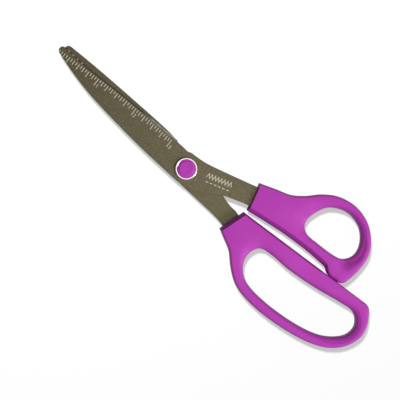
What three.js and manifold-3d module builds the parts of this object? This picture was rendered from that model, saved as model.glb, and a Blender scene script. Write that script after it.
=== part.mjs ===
// Pinking shears, closed and lying flat, in millimetres.
// The origin is on the pivot axis, on the plane the shears rest on. +X points to the tips and +Z up, out of
// the front blade's face. The thumb loop is on the -Y side and the finger loop on the +Y side.
import * as THREE from "three";
import { mergeVertices } from "three/addons/utils/BufferGeometryUtils.js";
import Module from "manifold-3d";

const wasm = await Module();
wasm.setup();

// Driving dimensions.
const INCH = 25.4;
const HANDLE_THICKNESS = 11;
const MATING_HEIGHT = HANDLE_THICKNESS / 2; // the plane between the two blades, above the rest plane
const BLADE_THICKNESS = 3.2; // from the mating plane to a blade's outer face
const FACE_RELIEF = 0.2; // each blade's flat inner face stands this far back from the mating plane
const EDGE_BREAK = 0.35; // chamfer round a blade's outer face
const BLANK_DEPTH = 2; // a blade's blank below the mating plane, before its inner side is cut
const MOULD_GAP = 0.1; // hairline between a tang and the handle moulded round it
const STOP_GAP = 0.15; // between the thumb loop's nose and the finger handle when closed

// Pinking teeth: ridges that run round the pivot, so they stay in mesh at every opening.
const TOOTH_PITCH = INCH / 8;
const TOOTH_DEPTH = 1.6; // valley to crest
const TOOTH_PLAY = 0.06; // each blade's teeth stand back this far from the middle surface
const TOOTH_START = 17.5; // radius where the first tooth begins
const TOOTH_COUNT = 25;
const LIP_WIDTH = 4.5; // toothed band along each cutting edge
const TIP_LIP_WIDTH = 2.2; // where it narrows at the tip
const LIP_CLEARANCE = 0.15; // hollow behind the lip, below the other blade's crests
const GRIND_WIDTH = 0.75; // ground bevel on the outer face, along the cutting edge
const GRIND_DEPTH = 1.1;

// Pivot.
const BARREL_RADIUS = 3;
const BARREL_PLAY = 0.05;
const THREAD_RADIUS = 2.4;
const CUP_RADIUS = 6;
const CUP_HEIGHT = 1.5;
const CUP_RIM = 1.1;
const CUP_RECESS = 0.9;
const RIM_ROUND = 0.35; // both edges of the cup's rim
const SCREW_CHAMFER = 0.3; // end of the thread, and under the cup
const CAP_PLAY = 0.05;
const CAP_FLANGE = 0.7; // thickness of the cap's flange, which stops just under the rim
const CAP_HEIGHT = 1.45; // to the top of the button on the flange
const BUTTON_RADIUS = 4.2; // at its foot
const BUTTON_TAPER = 0.5; // how much smaller its face is
const THRUST_WASHER_RADIUS = 6.5;
const NUT_THICKNESS = 1.6;
const NUT_RADIUS = 5.2; // across corners, halved
const NUT_CHAMFER = 0.4; // height at the corners
const SPRING_RADIUS = 5.3;
const SPRING_THICKNESS = 0.35;
const SPRING_PLAY = 0.2;

// Handles.
const ROUND_HEIGHT = 3.6; // edge rounding, measured down the side
const ROUND_WIDTH = 1.5; // and in from the side
const TANG_HOLE_RADIUS = 1.8; // the plastic locks through it
const TANG_SHOULDER = 1; // the tang's step in on each side
const SHOULDER_DEPTH = 6; // from the mouth to the step
const SHOULDER_SLOPE = 1; // length over which it steps in
const TANG_CORNER = 2; // cut off the tang's two far corners
// How far each collar's end face leans back, above and below its middle.
const THUMB_TILT = THREE.MathUtils.degToRad(13);
const FINGER_TILT = THREE.MathUtils.degToRad(20);

const ROUND_SEGMENTS = 32;
const EDGE_SEGMENTS = 2; // across a handle's rounded edge
const RIDGE_SEGMENTS = 108;
const CURVE_SEGMENTS = 3;
const BEYOND = 10; // cutters run this far past what they cut
const REACH = 130; // larger than any blade

const COLOURS = {
  coating: { color: 0x6c6250, roughness: 0.55, metalness: 0.6 },
  plastic: { color: 0xb446b4, roughness: 0.4, metalness: 0 },
  bright: { color: 0xd8d4d2, roughness: 0.2, metalness: 1 },
  nylon: { color: 0x2b2b2b, roughness: 0.6, metalness: 0 },
};

// ---- Geometry helpers

const points = (list) => list.map(([x, y]) => new THREE.Vector2(x, y));

// A closed three.js geometry as a manifold-3d solid.
function solid(geometry) {
  const bare = geometry.clone();
  bare.deleteAttribute("normal");
  bare.deleteAttribute("uv");
  const merged = mergeVertices(bare, 1e-4);
  return new wasm.Manifold(
    new wasm.Mesh({
      numProp: 3,
      vertProperties: new Float32Array(merged.attributes.position.array),
      triVerts: new Uint32Array(merged.index.array),
    }),
  );
}

function geometryOf(body) {
  const made = body.getMesh();
  const geometry = new THREE.BufferGeometry();
  geometry.setAttribute(
    "position",
    new THREE.BufferAttribute(new Float32Array(made.vertProperties), 3),
  );
  geometry.setIndex(new THREE.BufferAttribute(new Uint32Array(made.triVerts), 1));
  geometry.computeVertexNormals();
  return geometry;
}

// A flat outline from height low to height high, with plain sides.
function prism(shape, low, high) {
  const geometry = new THREE.ExtrudeGeometry(shape, {
    depth: high - low,
    bevelEnabled: false,
    curveSegments: CURVE_SEGMENTS,
  });
  return geometry.translate(0, 0, low);
}

// The same, with edges rounded or chamfered inside the outline at both faces.
function roundedPrism(shape, low, high, width, height, segments) {
  const geometry = new THREE.ExtrudeGeometry(shape, {
    depth: high - low - 2 * height,
    bevelEnabled: true,
    bevelThickness: height,
    bevelSize: width,
    bevelOffset: -width,
    bevelSegments: segments,
    curveSegments: CURVE_SEGMENTS,
  });
  return geometry.translate(0, 0, low + height);
}

// A profile of [radius, height] pairs turned round the Z axis. The profile runs up its outside.
function turned(profile, segments = ROUND_SEGMENTS) {
  return new THREE.LatheGeometry(points(profile), segments).rotateX(Math.PI / 2);
}

function box(x0, x1, y0, y1, z0, z1) {
  const geometry = new THREE.BoxGeometry(x1 - x0, y1 - y0, z1 - z0);
  return geometry.translate((x0 + x1) / 2, (y0 + y1) / 2, (z0 + z1) / 2);
}

function cylinder(radius, low, high) {
  const geometry = new THREE.CylinderGeometry(radius, radius, high - low, ROUND_SEGMENTS);
  return geometry.rotateX(Math.PI / 2).translate(0, 0, (low + high) / 2);
}

// ---- Tangs: the tail of a blade that the handle is moulded round

// The mouth is where the tang enters the handle: two corners, in the order the blade's outline meets them.
const FRONT_TANG = { mouth: points([[-34.2, -7.9], [-30.6, -18.2]]), length: 23, holeAt: 14 };
const BACK_TANG = { mouth: points([[-32.6, 7.95], [-34.7, -2.2]]), length: 16, holeAt: 10 };

// The tail's outline past the mouth, grown by gap on every side.
function tail(tang, gap) {
  const [first, last] = tang.mouth;
  const across = last.clone().sub(first).normalize();
  const along = new THREE.Vector2(across.y, -across.x);
  const at = (corner, deep, inward) =>
    corner.clone().addScaledVector(along, deep).addScaledVector(across, inward);
  const step = TANG_SHOULDER - gap;
  const end = tang.length + gap;
  return [
    at(first, SHOULDER_DEPTH + gap, -gap),
    at(first, SHOULDER_DEPTH + SHOULDER_SLOPE + gap, step),
    at(first, end - TANG_CORNER, step),
    at(first, end, step + TANG_CORNER),
    at(last, end, -step - TANG_CORNER),
    at(last, end - TANG_CORNER, -step),
    at(last, SHOULDER_DEPTH + SHOULDER_SLOPE + gap, -step),
    at(last, SHOULDER_DEPTH + gap, gap),
  ];
}

function tangHole(tang, radius) {
  const [first, last] = tang.mouth;
  const across = last.clone().sub(first).normalize();
  const middle = first.clone().add(last).multiplyScalar(0.5);
  const centre = middle.add(new THREE.Vector2(across.y, -across.x).multiplyScalar(tang.holeAt));
  return new THREE.Path().absarc(centre.x, centre.y, radius, 0, 2 * Math.PI, true);
}

// ---- Blades. Each outline is drawn as the closed shears lie, and starts where the tang leaves the handle.

const HEEL = 14.5; // where the cutting edges begin
const FRONT_EDGE = [[HEEL, -7.7], [30, -6.7], [45, -5.35], [60, -3.9], [75, -2.4], [91.55, -1.9]];
const BACK_EDGE = [[90.8, 0.05], [75, 3], [60, 5.1], [45, 6.5], [30, 7.3], [HEEL, 7.7]];
const FRONT_NOSE = { x: 91.55, y: 0.4, radius: 2.3 };
const BACK_NOSE = { x: 90.4, y: -2.1, radius: 2.15 };
const NOSE_END = 0.44 * Math.PI; // where the round nose runs into the blade's far side

function frontOutline() {
  const [enter, leave] = FRONT_TANG.mouth;
  const shape = new THREE.Shape();
  shape.moveTo(leave.x, leave.y);
  shape.splineThru(points([[-25, -16.2], [-15, -12.7], [-5, -9.5], [4.3, -8.05]]));
  shape.lineTo(5.6, -7.3);
  shape.lineTo(13.2, -7.15);
  shape.lineTo(...FRONT_EDGE[0]);
  shape.splineThru(points(FRONT_EDGE.slice(1)));
  shape.absarc(FRONT_NOSE.x, FRONT_NOSE.y, FRONT_NOSE.radius, -Math.PI / 2, NOSE_END, false);
  const spine = [
    [80, 5.2], [65, 7.3], [45, 8.4], [25, 8.8], [10, 8.55], [-2, 8.1], [-9, 6.6], [-16, 2.3], [-24, -3.3],
  ];
  shape.splineThru([...points(spine), enter]);
  tail(FRONT_TANG, 0).forEach((p) => shape.lineTo(p.x, p.y));
  shape.holes.push(tangHole(FRONT_TANG, TANG_HOLE_RADIUS));
  return shape;
}

function backOutline() {
  const [enter, leave] = BACK_TANG.mouth;
  const shape = new THREE.Shape();
  shape.moveTo(leave.x, leave.y);
  shape.splineThru(
    points([
      [-30.3, -2.2], [-24, -3.4], [-15, -5.4], [-5, -6.6], [5, -6.75], [12, -7.1],
      [20, -7.95], [30, -7.8], [45, -7.15], [65, -6.15], [80, -5.15], [90.3, -4.25],
    ]),
  );
  shape.absarc(BACK_NOSE.x, BACK_NOSE.y, BACK_NOSE.radius, -Math.PI / 2, NOSE_END, false);
  shape.splineThru(points(BACK_EDGE.slice(1)));
  shape.lineTo(13.2, 7.1);
  shape.lineTo(5.6, 7.2);
  shape.lineTo(4.3, 8.1);
  shape.splineThru([...points([[-10, 8], [-25, 7.7]]), enter]);
  tail(BACK_TANG, 0).forEach((p) => shape.lineTo(p.x, p.y));
  shape.holes.push(tangHole(BACK_TANG, TANG_HOLE_RADIUS));
  return shape;
}

// What is cut from the inner side of a blade lying with its outer face up: flat round the pivot, then
// teeth. phase is 1 where this blade's first half pitch is a valley, and -1 where it is a crest.
function innerCut(phase) {
  const first = TOOTH_PLAY + (phase * TOOTH_DEPTH) / 2;
  const second = TOOTH_PLAY - (phase * TOOTH_DEPTH) / 2;
  const profile = [[0, -BEYOND], [TOOTH_START + TOOTH_COUNT * TOOTH_PITCH, -BEYOND]];
  for (let i = TOOTH_COUNT - 1; i >= 0; i--) {
    const start = TOOTH_START + i * TOOTH_PITCH;
    profile.push([start + TOOTH_PITCH, first], [start + TOOTH_PITCH / 2, second]);
  }
  profile.push([TOOTH_START, first], [TOOTH_START, FACE_RELIEF], [0, FACE_RELIEF]);
  const ahead = box(0, 2 * REACH, -REACH, REACH, -2 * BEYOND, BEYOND);
  const behind = box(-REACH, BARREL_RADIUS, -REACH, REACH, -BEYOND, FACE_RELIEF);
  const ridges = solid(turned(profile, RIDGE_SEGMENTS)).intersect(solid(ahead));
  return ridges.add(solid(behind));
}

// The hollow between the toothed lip and the spine. The edge runs from heel to tip.
function hollow(edge) {
  const inner = edge.map(([x, y]) => [x, y + LIP_WIDTH]);
  inner.at(-1)[1] += TIP_LIP_WIDTH - LIP_WIDTH;
  const [tipX, tipY] = inner.at(-1);
  const shape = new THREE.Shape();
  shape.moveTo(inner[0][0], REACH);
  shape.lineTo(...inner[0]);
  shape.splineThru(points(inner.slice(1)));
  shape.lineTo(tipX + BEYOND, tipY);
  shape.lineTo(tipX + BEYOND, REACH);
  const space = solid(prism(shape, -BEYOND, TOOTH_DEPTH / 2 + LIP_CLEARANCE));
  return space.subtract(solid(cylinder(TOOTH_START, -2 * BEYOND, BEYOND)));
}

// The wedge that the grinding wheel takes off the outer face, along the cutting edge from heel to tip. The
// section's own X points down into the blade and its Y away from the edge.
function grind(edge) {
  const [tipX, tipY] = edge.at(-1);
  const run = [...edge, [tipX + BEYOND / 2, tipY + GRIND_DEPTH]];
  const path = new THREE.CatmullRomCurve3(
    run.map(([x, y]) => new THREE.Vector3(x, y, BLADE_THICKNESS)),
  );
  const out = 2 * GRIND_WIDTH;
  const above = 1;
  const wedge = new THREE.Shape();
  wedge.moveTo(0, GRIND_WIDTH);
  wedge.lineTo((GRIND_DEPTH * (GRIND_WIDTH + out)) / GRIND_WIDTH, -out);
  wedge.lineTo(-above, -out);
  wedge.lineTo(-above, GRIND_WIDTH);
  const options = { extrudePath: path, steps: CURVE_SEGMENTS * edge.length };
  return solid(new THREE.ExtrudeGeometry(wedge, options));
}

// A blade lying with its outer face up and its mating plane at height 0.
function blade(shape, edge, phase) {
  const plate = roundedPrism(shape, -BLANK_DEPTH, BLADE_THICKNESS, EDGE_BREAK, EDGE_BREAK, 1);
  const body = solid(plate)
    .subtract(innerCut(phase))
    .subtract(hollow(edge))
    .subtract(grind(edge))
    .subtract(solid(cylinder(BARREL_RADIUS + BARREL_PLAY, -BEYOND, BEYOND)));
  return geometryOf(body);
}

// ---- Handles. Each outline runs on past its collar, whose end face is cut afterwards.

// The finger handle's straight side, where the thumb loop's nose comes to rest.
const stopSide = (x) => -4.7 + 0.1255 * (x + 37.5);
const THUMB_END = points([[-33.2, -21.7], [-38.4, -6.8]]); // the collar's end face, at middle height
const FINGER_END = points([[-38, -4.6], [-34.8, 10.6]]);

function thumbOutline() {
  const nose = (x) => stopSide(x) - STOP_GAP;
  const shape = new THREE.Shape();
  shape.moveTo(-32, -5.1);
  shape.splineThru(
    points([[-38.4, -6.5], [-50, -9.05], [-62, -11.35], [-76, -13.15], [-86, -13.75], [-90.3, -13.75]]),
  );
  shape.quadraticCurveTo(-93, nose(-93), -95.6, nose(-95.6));
  shape.lineTo(-99.9, nose(-99.9));
  shape.quadraticCurveTo(-102.5, nose(-102.5), -103.5, -15.7);
  shape.splineThru(
    points([
      [-104.2, -24.1], [-102.8, -33.7], [-97.9, -41.1], [-89.8, -46.8], [-79.5, -48.7],
      [-69.5, -46.3], [-62, -41], [-56, -34.1], [-50, -29], [-42, -25.6], [-33.2, -21.7], [-28, -19.6],
    ]),
  );
  shape.quadraticCurveTo(-24, -18, -25.3, -14.4);
  shape.lineTo(-27.3, -8.2);
  shape.quadraticCurveTo(-28.3, -4.5, -32, -5.1);
  shape.holes.push(
    closedCurve([
      [-65.4, -27.5], [-68, -36.4], [-73.7, -41.5], [-80.7, -43.5], [-88.7, -41.7], [-94.7, -36.2],
      [-96.9, -29.5], [-94.2, -23.8], [-88.7, -21.5], [-78.7, -20.2], [-71.2, -19.8], [-66.7, -22.2],
    ]),
  );
  return shape;
}

function fingerOutline() {
  const shape = new THREE.Shape();
  shape.moveTo(-118.9, stopSide(-118.9));
  shape.lineTo(-31, stopSide(-31));
  shape.quadraticCurveTo(-26, stopSide(-26), -25.6, 0);
  shape.lineTo(-25.2, 4);
  shape.quadraticCurveTo(-24.8, 7.1, -28.5, 8.3);
  shape.splineThru(
    points([
      [-34.8, 10.6], [-40, 12.8], [-46.7, 15.8], [-54, 21.8], [-62, 26.4], [-72, 28], [-85, 27.5],
      [-100, 24.9], [-112.2, 21.2], [-121.3, 16.1], [-127.3, 9], [-129.8, 0.5], [-128.2, -6.5],
      [-123.8, -12.8],
    ]),
  );
  shape.quadraticCurveTo(-121.7, -15.3, -118.9, stopSide(-118.9));
  shape.holes.push(
    closedCurve([
      [-55.6, 9.5], [-58, 3.3], [-65.5, 1.4], [-77.5, 0.7], [-93.5, -2], [-108.6, -5.7], [-117.7, -6.9],
      [-123.5, -1.8], [-122.7, 6], [-114, 14.2], [-99.5, 19.3], [-80.5, 22.1], [-65.7, 21.4], [-57.9, 16.3],
    ]),
  );
  return shape;
}

// A smooth closed hole through its points.
function closedCurve(list) {
  const loop = new THREE.CatmullRomCurve3(list.map(([x, y]) => new THREE.Vector3(x, y, 0)), true);
  const ring = loop.getPoints(list.length * CURVE_SEGMENTS).slice(0, -1);
  return new THREE.Path(ring.map((p) => new THREE.Vector2(p.x, p.y)));
}

// Everything past a collar's end face, which leans back from its middle height to both faces of the handle.
function pastEnd([from, to], tilt) {
  const middle = from.clone().add(to).multiplyScalar(0.5);
  const heading = Math.atan2(from.x - to.x, to.y - from.y);
  const lean = (angle) => {
    const block = box(0, REACH, -REACH, REACH, -REACH, REACH).rotateY(angle);
    return solid(block.rotateZ(heading).translate(middle.x, middle.y, MATING_HEIGHT));
  };
  return lean(-tilt).add(lean(tilt));
}

// The space a tang takes up in its handle, from outside the end face to the tang's tip, with the locking
// hole left standing. side is 1 for the front blade, above the mating plane, and -1 for the back blade.
function socket(tang, side) {
  const [first, last] = tang.mouth;
  const across = last.clone().sub(first).normalize();
  const out = new THREE.Vector2(-across.y, across.x).multiplyScalar(BEYOND);
  const shape = new THREE.Shape([
    last.clone().addScaledVector(across, MOULD_GAP).add(out),
    first.clone().addScaledVector(across, -MOULD_GAP).add(out),
    ...tail(tang, MOULD_GAP),
  ]);
  shape.holes.push(tangHole(tang, TANG_HOLE_RADIUS - MOULD_GAP));
  const inner = MATING_HEIGHT + side * (FACE_RELIEF - MOULD_GAP);
  const outer = MATING_HEIGHT + side * (BLADE_THICKNESS + MOULD_GAP);
  return solid(prism(shape, Math.min(inner, outer), Math.max(inner, outer)));
}

function handle(shape, past, tang, side) {
  const grip = roundedPrism(shape, 0, HANDLE_THICKNESS, ROUND_WIDTH, ROUND_HEIGHT, EDGE_SEGMENTS);
  return geometryOf(solid(grip).subtract(past).subtract(socket(tang, side)));
}

// ---- Pivot pieces, each turned about the pivot axis

function pivotScrew() {
  const under = MATING_HEIGHT - BLADE_THICKNESS;
  const base = MATING_HEIGHT + BLADE_THICKNESS;
  const top = base + CUP_HEIGHT;
  const floor = top - CUP_RECESS;
  const inner = CUP_RADIUS - CUP_RIM;
  const midRound = RIM_ROUND * (1 - Math.SQRT1_2);
  return turned([
    [0, 0],
    [THREAD_RADIUS - SCREW_CHAMFER, 0],
    [THREAD_RADIUS, SCREW_CHAMFER],
    [THREAD_RADIUS, under],
    [BARREL_RADIUS, under],
    [BARREL_RADIUS, base],
    [CUP_RADIUS - SCREW_CHAMFER, base],
    [CUP_RADIUS, base + SCREW_CHAMFER],
    [CUP_RADIUS, top - RIM_ROUND],
    [CUP_RADIUS - midRound, top - midRound],
    [CUP_RADIUS - RIM_ROUND, top],
    [inner + RIM_ROUND, top],
    [inner, top - RIM_ROUND],
    [inner, floor],
    [0, floor],
  ]);
}

// A round flange in the cup, with a steep-sided button standing on it.
function pivotCap() {
  const floor = MATING_HEIGHT + BLADE_THICKNESS + CUP_HEIGHT - CUP_RECESS;
  const radius = CUP_RADIUS - CUP_RIM - CAP_PLAY;
  return turned([
    [0, floor],
    [radius, floor],
    [radius, floor + CAP_FLANGE],
    [BUTTON_RADIUS, floor + CAP_FLANGE],
    [BUTTON_RADIUS - BUTTON_TAPER, floor + CAP_HEIGHT],
    [0, floor + CAP_HEIGHT],
  ]);
}

function thrustWasher() {
  const bore = BARREL_RADIUS + BARREL_PLAY;
  const low = MATING_HEIGHT - FACE_RELIEF;
  const high = MATING_HEIGHT + FACE_RELIEF;
  return turned([
    [bore, low],
    [THRUST_WASHER_RADIUS, low],
    [THRUST_WASHER_RADIUS, high],
    [bore, high],
    [bore, low],
  ]);
}

// A conical washer between the back blade and the nut.
function springWasher() {
  const bore = THREAD_RADIUS + SPRING_PLAY;
  const high = MATING_HEIGHT - BLADE_THICKNESS;
  const low = NUT_THICKNESS;
  return turned([
    [bore, high - SPRING_THICKNESS],
    [SPRING_RADIUS, low],
    [SPRING_RADIUS, low + SPRING_THICKNESS],
    [bore, high],
    [bore, high - SPRING_THICKNESS],
  ]);
}

// A hexagonal nut with its lower corners chamfered.
function pivotNut() {
  const hex = new THREE.CylinderGeometry(NUT_RADIUS, NUT_RADIUS, NUT_THICKNESS, 6);
  hex.rotateX(Math.PI / 2).translate(0, 0, NUT_THICKNESS / 2);
  const flatRadius = NUT_RADIUS * Math.cos(Math.PI / 6);
  const clear = NUT_RADIUS + BEYOND;
  const slope = NUT_CHAMFER / (NUT_RADIUS - flatRadius);
  const chamfered = turned([
    [0, 0],
    [flatRadius, 0],
    [clear, (clear - flatRadius) * slope],
    [clear, NUT_THICKNESS + BEYOND],
    [0, NUT_THICKNESS + BEYOND],
  ]);
  const thread = cylinder(THREAD_RADIUS + BARREL_PLAY, -BEYOND, BEYOND);
  return geometryOf(solid(hex).intersect(solid(chamfered)).subtract(solid(thread)));
}

// ---- Assembly

function piece(name, geometry, colour) {
  const mesh = new THREE.Mesh(geometry, new THREE.MeshStandardMaterial(COLOURS[colour]));
  mesh.name = name;
  return mesh;
}

// The back blade is made outer face up, so its outline is drawn mirrored and the blade then turned over.
function mirrored(shape) {
  const flip = (list) => list.map((p) => new THREE.Vector2(p.x, -p.y)).reverse();
  const { shape: outline, holes } = shape.extractPoints(CURVE_SEGMENTS);
  const turnedOver = new THREE.Shape(flip(outline));
  turnedOver.holes = holes.map((hole) => new THREE.Path(flip(hole)));
  return turnedOver;
}

const shears = new THREE.Group();

const frontBlade = piece("front_blade", blade(frontOutline(), FRONT_EDGE, 1), "coating");
frontBlade.position.z = MATING_HEIGHT;

const backEdge = BACK_EDGE.map(([x, y]) => [x, -y]).reverse();
const backBlade = piece("back_blade", blade(mirrored(backOutline()), backEdge, -1), "coating");
backBlade.rotation.x = Math.PI;
backBlade.position.z = MATING_HEIGHT;

const thumbHandle = handle(thumbOutline(), pastEnd(THUMB_END, THUMB_TILT), FRONT_TANG, 1);
const fingerHandle = handle(fingerOutline(), pastEnd(FINGER_END, FINGER_TILT), BACK_TANG, -1);

shears.add(
  frontBlade,
  backBlade,
  piece("thumb_handle", thumbHandle, "plastic"),
  piece("finger_handle", fingerHandle, "plastic"),
  piece("pivot_screw", pivotScrew(), "bright"),
  piece("pivot_cap", pivotCap(), "plastic"),
  piece("thrust_washer", thrustWasher(), "nylon"),
  piece("spring_washer", springWasher(), "bright"),
  piece("pivot_nut", pivotNut(), "bright"),
);

export default shears;
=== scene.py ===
"""Pinking shears lying closed on a white floor, seen from above.

Lengths are written in millimetres and turned into metres where a mesh is made. The frame is the CAD
frame: the pivot is at the origin, +X points to the tips and +Z up.
"""

import math

import bmesh
import bpy
from mathutils import Matrix, Vector
from mathutils.geometry import delaunay_2d_cdt


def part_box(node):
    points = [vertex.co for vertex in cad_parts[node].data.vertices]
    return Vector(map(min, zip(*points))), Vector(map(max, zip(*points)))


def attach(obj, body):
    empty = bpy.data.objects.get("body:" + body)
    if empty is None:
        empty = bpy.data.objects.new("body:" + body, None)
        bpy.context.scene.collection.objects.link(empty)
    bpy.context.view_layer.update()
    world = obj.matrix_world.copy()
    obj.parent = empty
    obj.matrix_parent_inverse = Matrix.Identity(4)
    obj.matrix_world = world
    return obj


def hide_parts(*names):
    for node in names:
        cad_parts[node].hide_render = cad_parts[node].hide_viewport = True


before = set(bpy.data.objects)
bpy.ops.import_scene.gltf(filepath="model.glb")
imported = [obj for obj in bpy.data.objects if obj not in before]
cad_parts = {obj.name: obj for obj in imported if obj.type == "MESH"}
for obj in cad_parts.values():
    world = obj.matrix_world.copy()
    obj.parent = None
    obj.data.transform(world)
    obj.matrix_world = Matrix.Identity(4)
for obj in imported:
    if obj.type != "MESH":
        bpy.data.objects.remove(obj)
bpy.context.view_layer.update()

MM = 0.001
INCH = 25.4

# ---- Sizes read from the frame


def node_box(node):
    low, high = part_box(node)
    return low / MM, high / MM


_, front_high = node_box("front_blade")
_, thumb_high = node_box("thumb_handle")
_, screw_high = node_box("pivot_screw")
cap_low, cap_high = node_box("pivot_cap")
washer_low, washer_high = node_box("thrust_washer")
spring_low, spring_high = node_box("spring_washer")
nut_low, nut_high = node_box("pivot_nut")
HANDLE_TOP = thumb_high.z
BLADE_TOP = front_high.z
CUP_TOP = screw_high.z
CUP_RADIUS = screw_high.x
CAP_RADIUS = cap_high.x
CUP_FLOOR = cap_low.z
MATING = (washer_low.z + washer_high.z) / 2 # the plane between the two blades
THICKNESS = BLADE_TOP - MATING # of a blade, from the mating plane to its outer face
FACE_RELIEF = washer_high.z - MATING
BACK_FACE = MATING - THICKNESS
BEYOND = 10 # cutters run this far past what they cut

# ---- Mesh helpers


def new_object(name, vertices, faces, body, slot):
    mesh = bpy.data.meshes.new(name)
    mesh.from_pydata([Vector(v) * MM for v in vertices], [], faces)
    mesh.validate()
    mesh.update()
    obj = bpy.data.objects.new(name, mesh)
    bpy.context.scene.collection.objects.link(obj)
    fix_normals(mesh)
    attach(obj, body)
    return obj


def fix_normals(mesh):
    bm = bmesh.new()
    bm.from_mesh(mesh)
    bmesh.ops.recalc_face_normals(bm, faces=bm.faces)
    bm.to_mesh(mesh)
    bm.free()


def smooth_by_angle(obj, degrees):
    obj.data.shade_smooth()
    obj.data.set_sharp_from_angle(angle=math.radians(degrees))


def apply_modifiers(obj):
    graph = bpy.context.evaluated_depsgraph_get()
    obj.data = bpy.data.meshes.new_from_object(obj.evaluated_get(graph), depsgraph=graph)
    obj.modifiers.clear()


def catmull_rom(points, per_span, closed=False):
    """A smooth curve through points. An open curve includes both ends."""
    count = len(points)
    spans = count if closed else count - 1
    curve = []
    for i in range(spans):
        if closed:
            p0, p1, p2, p3 = (Vector(points[(i + k - 1) % count]) for k in range(4))
        else:
            p0, p1, p2, p3 = (
                Vector(points[min(max(i + k - 1, 0), count - 1)]) for k in range(4)
            )
        for j in range(per_span):
            t = j / per_span
            curve.append(
                0.5
                * (
                    2 * p1
                    + (p2 - p0) * t
                    + (2 * p0 - 5 * p1 + 4 * p2 - p3) * t * t
                    + (3 * p1 - p0 - 3 * p2 + p3) * t * t * t
                )
            )
    if not closed:
        curve.append(Vector(points[-1]))
    return curve


def corner(start, control, end, steps=10):
    """A rounded corner: a quadratic curve from start to end, pulled towards control."""
    a, b, c = Vector(start), Vector(control), Vector(end)
    return [
        a * (1 - t) ** 2 + b * 2 * t * (1 - t) + c * t * t
        for t in (i / steps for i in range(steps + 1))
    ]


def resample(loop, spacing):
    """Evenly spaced points along a closed loop."""
    ends = loop[1:] + loop[:1]
    lengths = [(b - a).length for a, b in zip(loop, ends)]
    total = sum(lengths)
    count = max(12, round(total / spacing))
    points = []
    i = 0
    walked = 0.0
    for k in range(count):
        target = total * k / count
        while walked + lengths[i] < target:
            walked += lengths[i]
            i += 1
        t = (target - walked) / max(lengths[i], 1e-9)
        points.append(loop[i].lerp(ends[i], t))
    return points


def area(loop):
    return 0.5 * sum(a.x * b.y - b.x * a.y for a, b in zip(loop, loop[1:] + loop[:1]))


def normals(loop):
    """Unit normals pointing out of a loop that runs counter-clockwise."""
    result = []
    count = len(loop)
    for i in range(count):
        d = (loop[(i + 1) % count] - loop[i - 1]).normalized()
        result.append(Vector((d.y, -d.x)))
    return result


def inside(point, loop):
    x, y = point
    hit = False
    for a, b in zip(loop, loop[1:] + loop[:1]):
        if (a.y > y) != (b.y > y) and x < (b.x - a.x) * (y - a.y) / (b.y - a.y) + a.x:
            hit = not hit
    return hit


def fill(vertices, faces, outer, inner=()):
    """Triangles that close a flat rim, given as vertex numbers, with an inner rim left open."""
    order = list(outer) + list(inner)
    flat = [Vector(vertices[i][:2]) for i in order]
    count = len(outer)
    edges = [(i, (i + 1) % count) for i in range(count)]
    edges += [(count + i, count + (i + 1) % len(inner)) for i in range(len(inner))]
    points, _, triangles, origins, _, _ = delaunay_2d_cdt(flat, edges, [], 1, 1e-6)
    hole = flat[count:]
    for triangle in triangles:
        middle = sum((points[i] for i in triangle), Vector((0, 0))) / len(triangle)
        if not inside(middle, hole):
            faces.append([order[origins[i][0]] for i in triangle])


def band(vertices, faces, rows):
    """Joins closed rows of equal length into a strip, and returns its first and last rims."""
    count = len(rows[0])
    starts = []
    for row in rows:
        starts.append(len(vertices))
        vertices.extend(row)
    for a, b in zip(starts, starts[1:]):
        for i in range(count):
            j = (i + 1) % count
            faces.append((a + i, b + i, b + j, a + j))
    return range(starts[0], starts[0] + count), range(starts[-1], starts[-1] + count)


def loft(rows):
    """A solid through closed flat rows, as vertices and faces."""
    vertices = []
    faces = []
    for rim in band(vertices, faces, rows):
        fill(vertices, faces, rim)
    return vertices, faces


def level(loop, height):
    return [(p[0], p[1], height) for p in loop]


def cut(obj, vertices, faces, material_index=0):
    """Takes a solid away from obj. The new faces take the numbered material of obj."""
    mesh = bpy.data.meshes.new("cutter")
    mesh.from_pydata([Vector(v) * MM for v in vertices], [], faces)
    fix_normals(mesh)
    for _ in range(material_index + 1):
        mesh.materials.append(None)
    for face in mesh.polygons:
        face.material_index = material_index
    cutter = bpy.data.objects.new("cutter", mesh)
    bpy.context.scene.collection.objects.link(cutter)
    modifier = obj.modifiers.new("cut", "BOOLEAN")
    modifier.object = cutter
    modifier.operation = "DIFFERENCE"
    modifier.solver = "EXACT"
    apply_modifiers(obj)
    bpy.data.objects.remove(cutter)


def around(steps, count, size):
    """Faces that join each of count closed sections of size points to the next one, steps times."""
    faces = []
    for i in range(steps):
        a, b = i * size, (i + 1) % count * size
        for j in range(size):
            k = (j + 1) % size
            faces.append((a + j, b + j, b + k, a + k))
    return faces


def turned(profile, steps=96, first=0.0, last=360.0):
    """A closed profile of (radius, height) turned about the pivot axis, as vertices and faces."""
    whole = last - first >= 360
    count = steps if whole else steps + 1
    vertices = []
    for i in range(count):
        angle = math.radians(first + (last - first) * i / steps)
        vertices.extend((r * math.cos(angle), r * math.sin(angle), z) for r, z in profile)
    size = len(profile)
    faces = around(steps, count, size)
    if not whole:
        faces.append(tuple(range(size)))
        faces.append(tuple(range((count - 1) * size, count * size)))
    return vertices, faces


# ---- Materials

PITCH = INCH / 8 # from tooth to tooth
TOOTH_START = 17.5 # where the first begins


def principled(name, roughness, metallic=0.0):
    material = bpy.data.materials.new(name)
    material.use_nodes = True
    shader = material.node_tree.nodes["Principled BSDF"]
    shader.inputs["Roughness"].default_value = roughness
    shader.inputs["Metallic"].default_value = metallic
    return material, material.node_tree, shader


def add(tree, kind, **values):
    node = tree.nodes.new(kind)
    for key, value in values.items():
        if key in node.inputs:
            node.inputs[key].default_value = value
        else:
            setattr(node, key, value)
    return node


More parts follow.
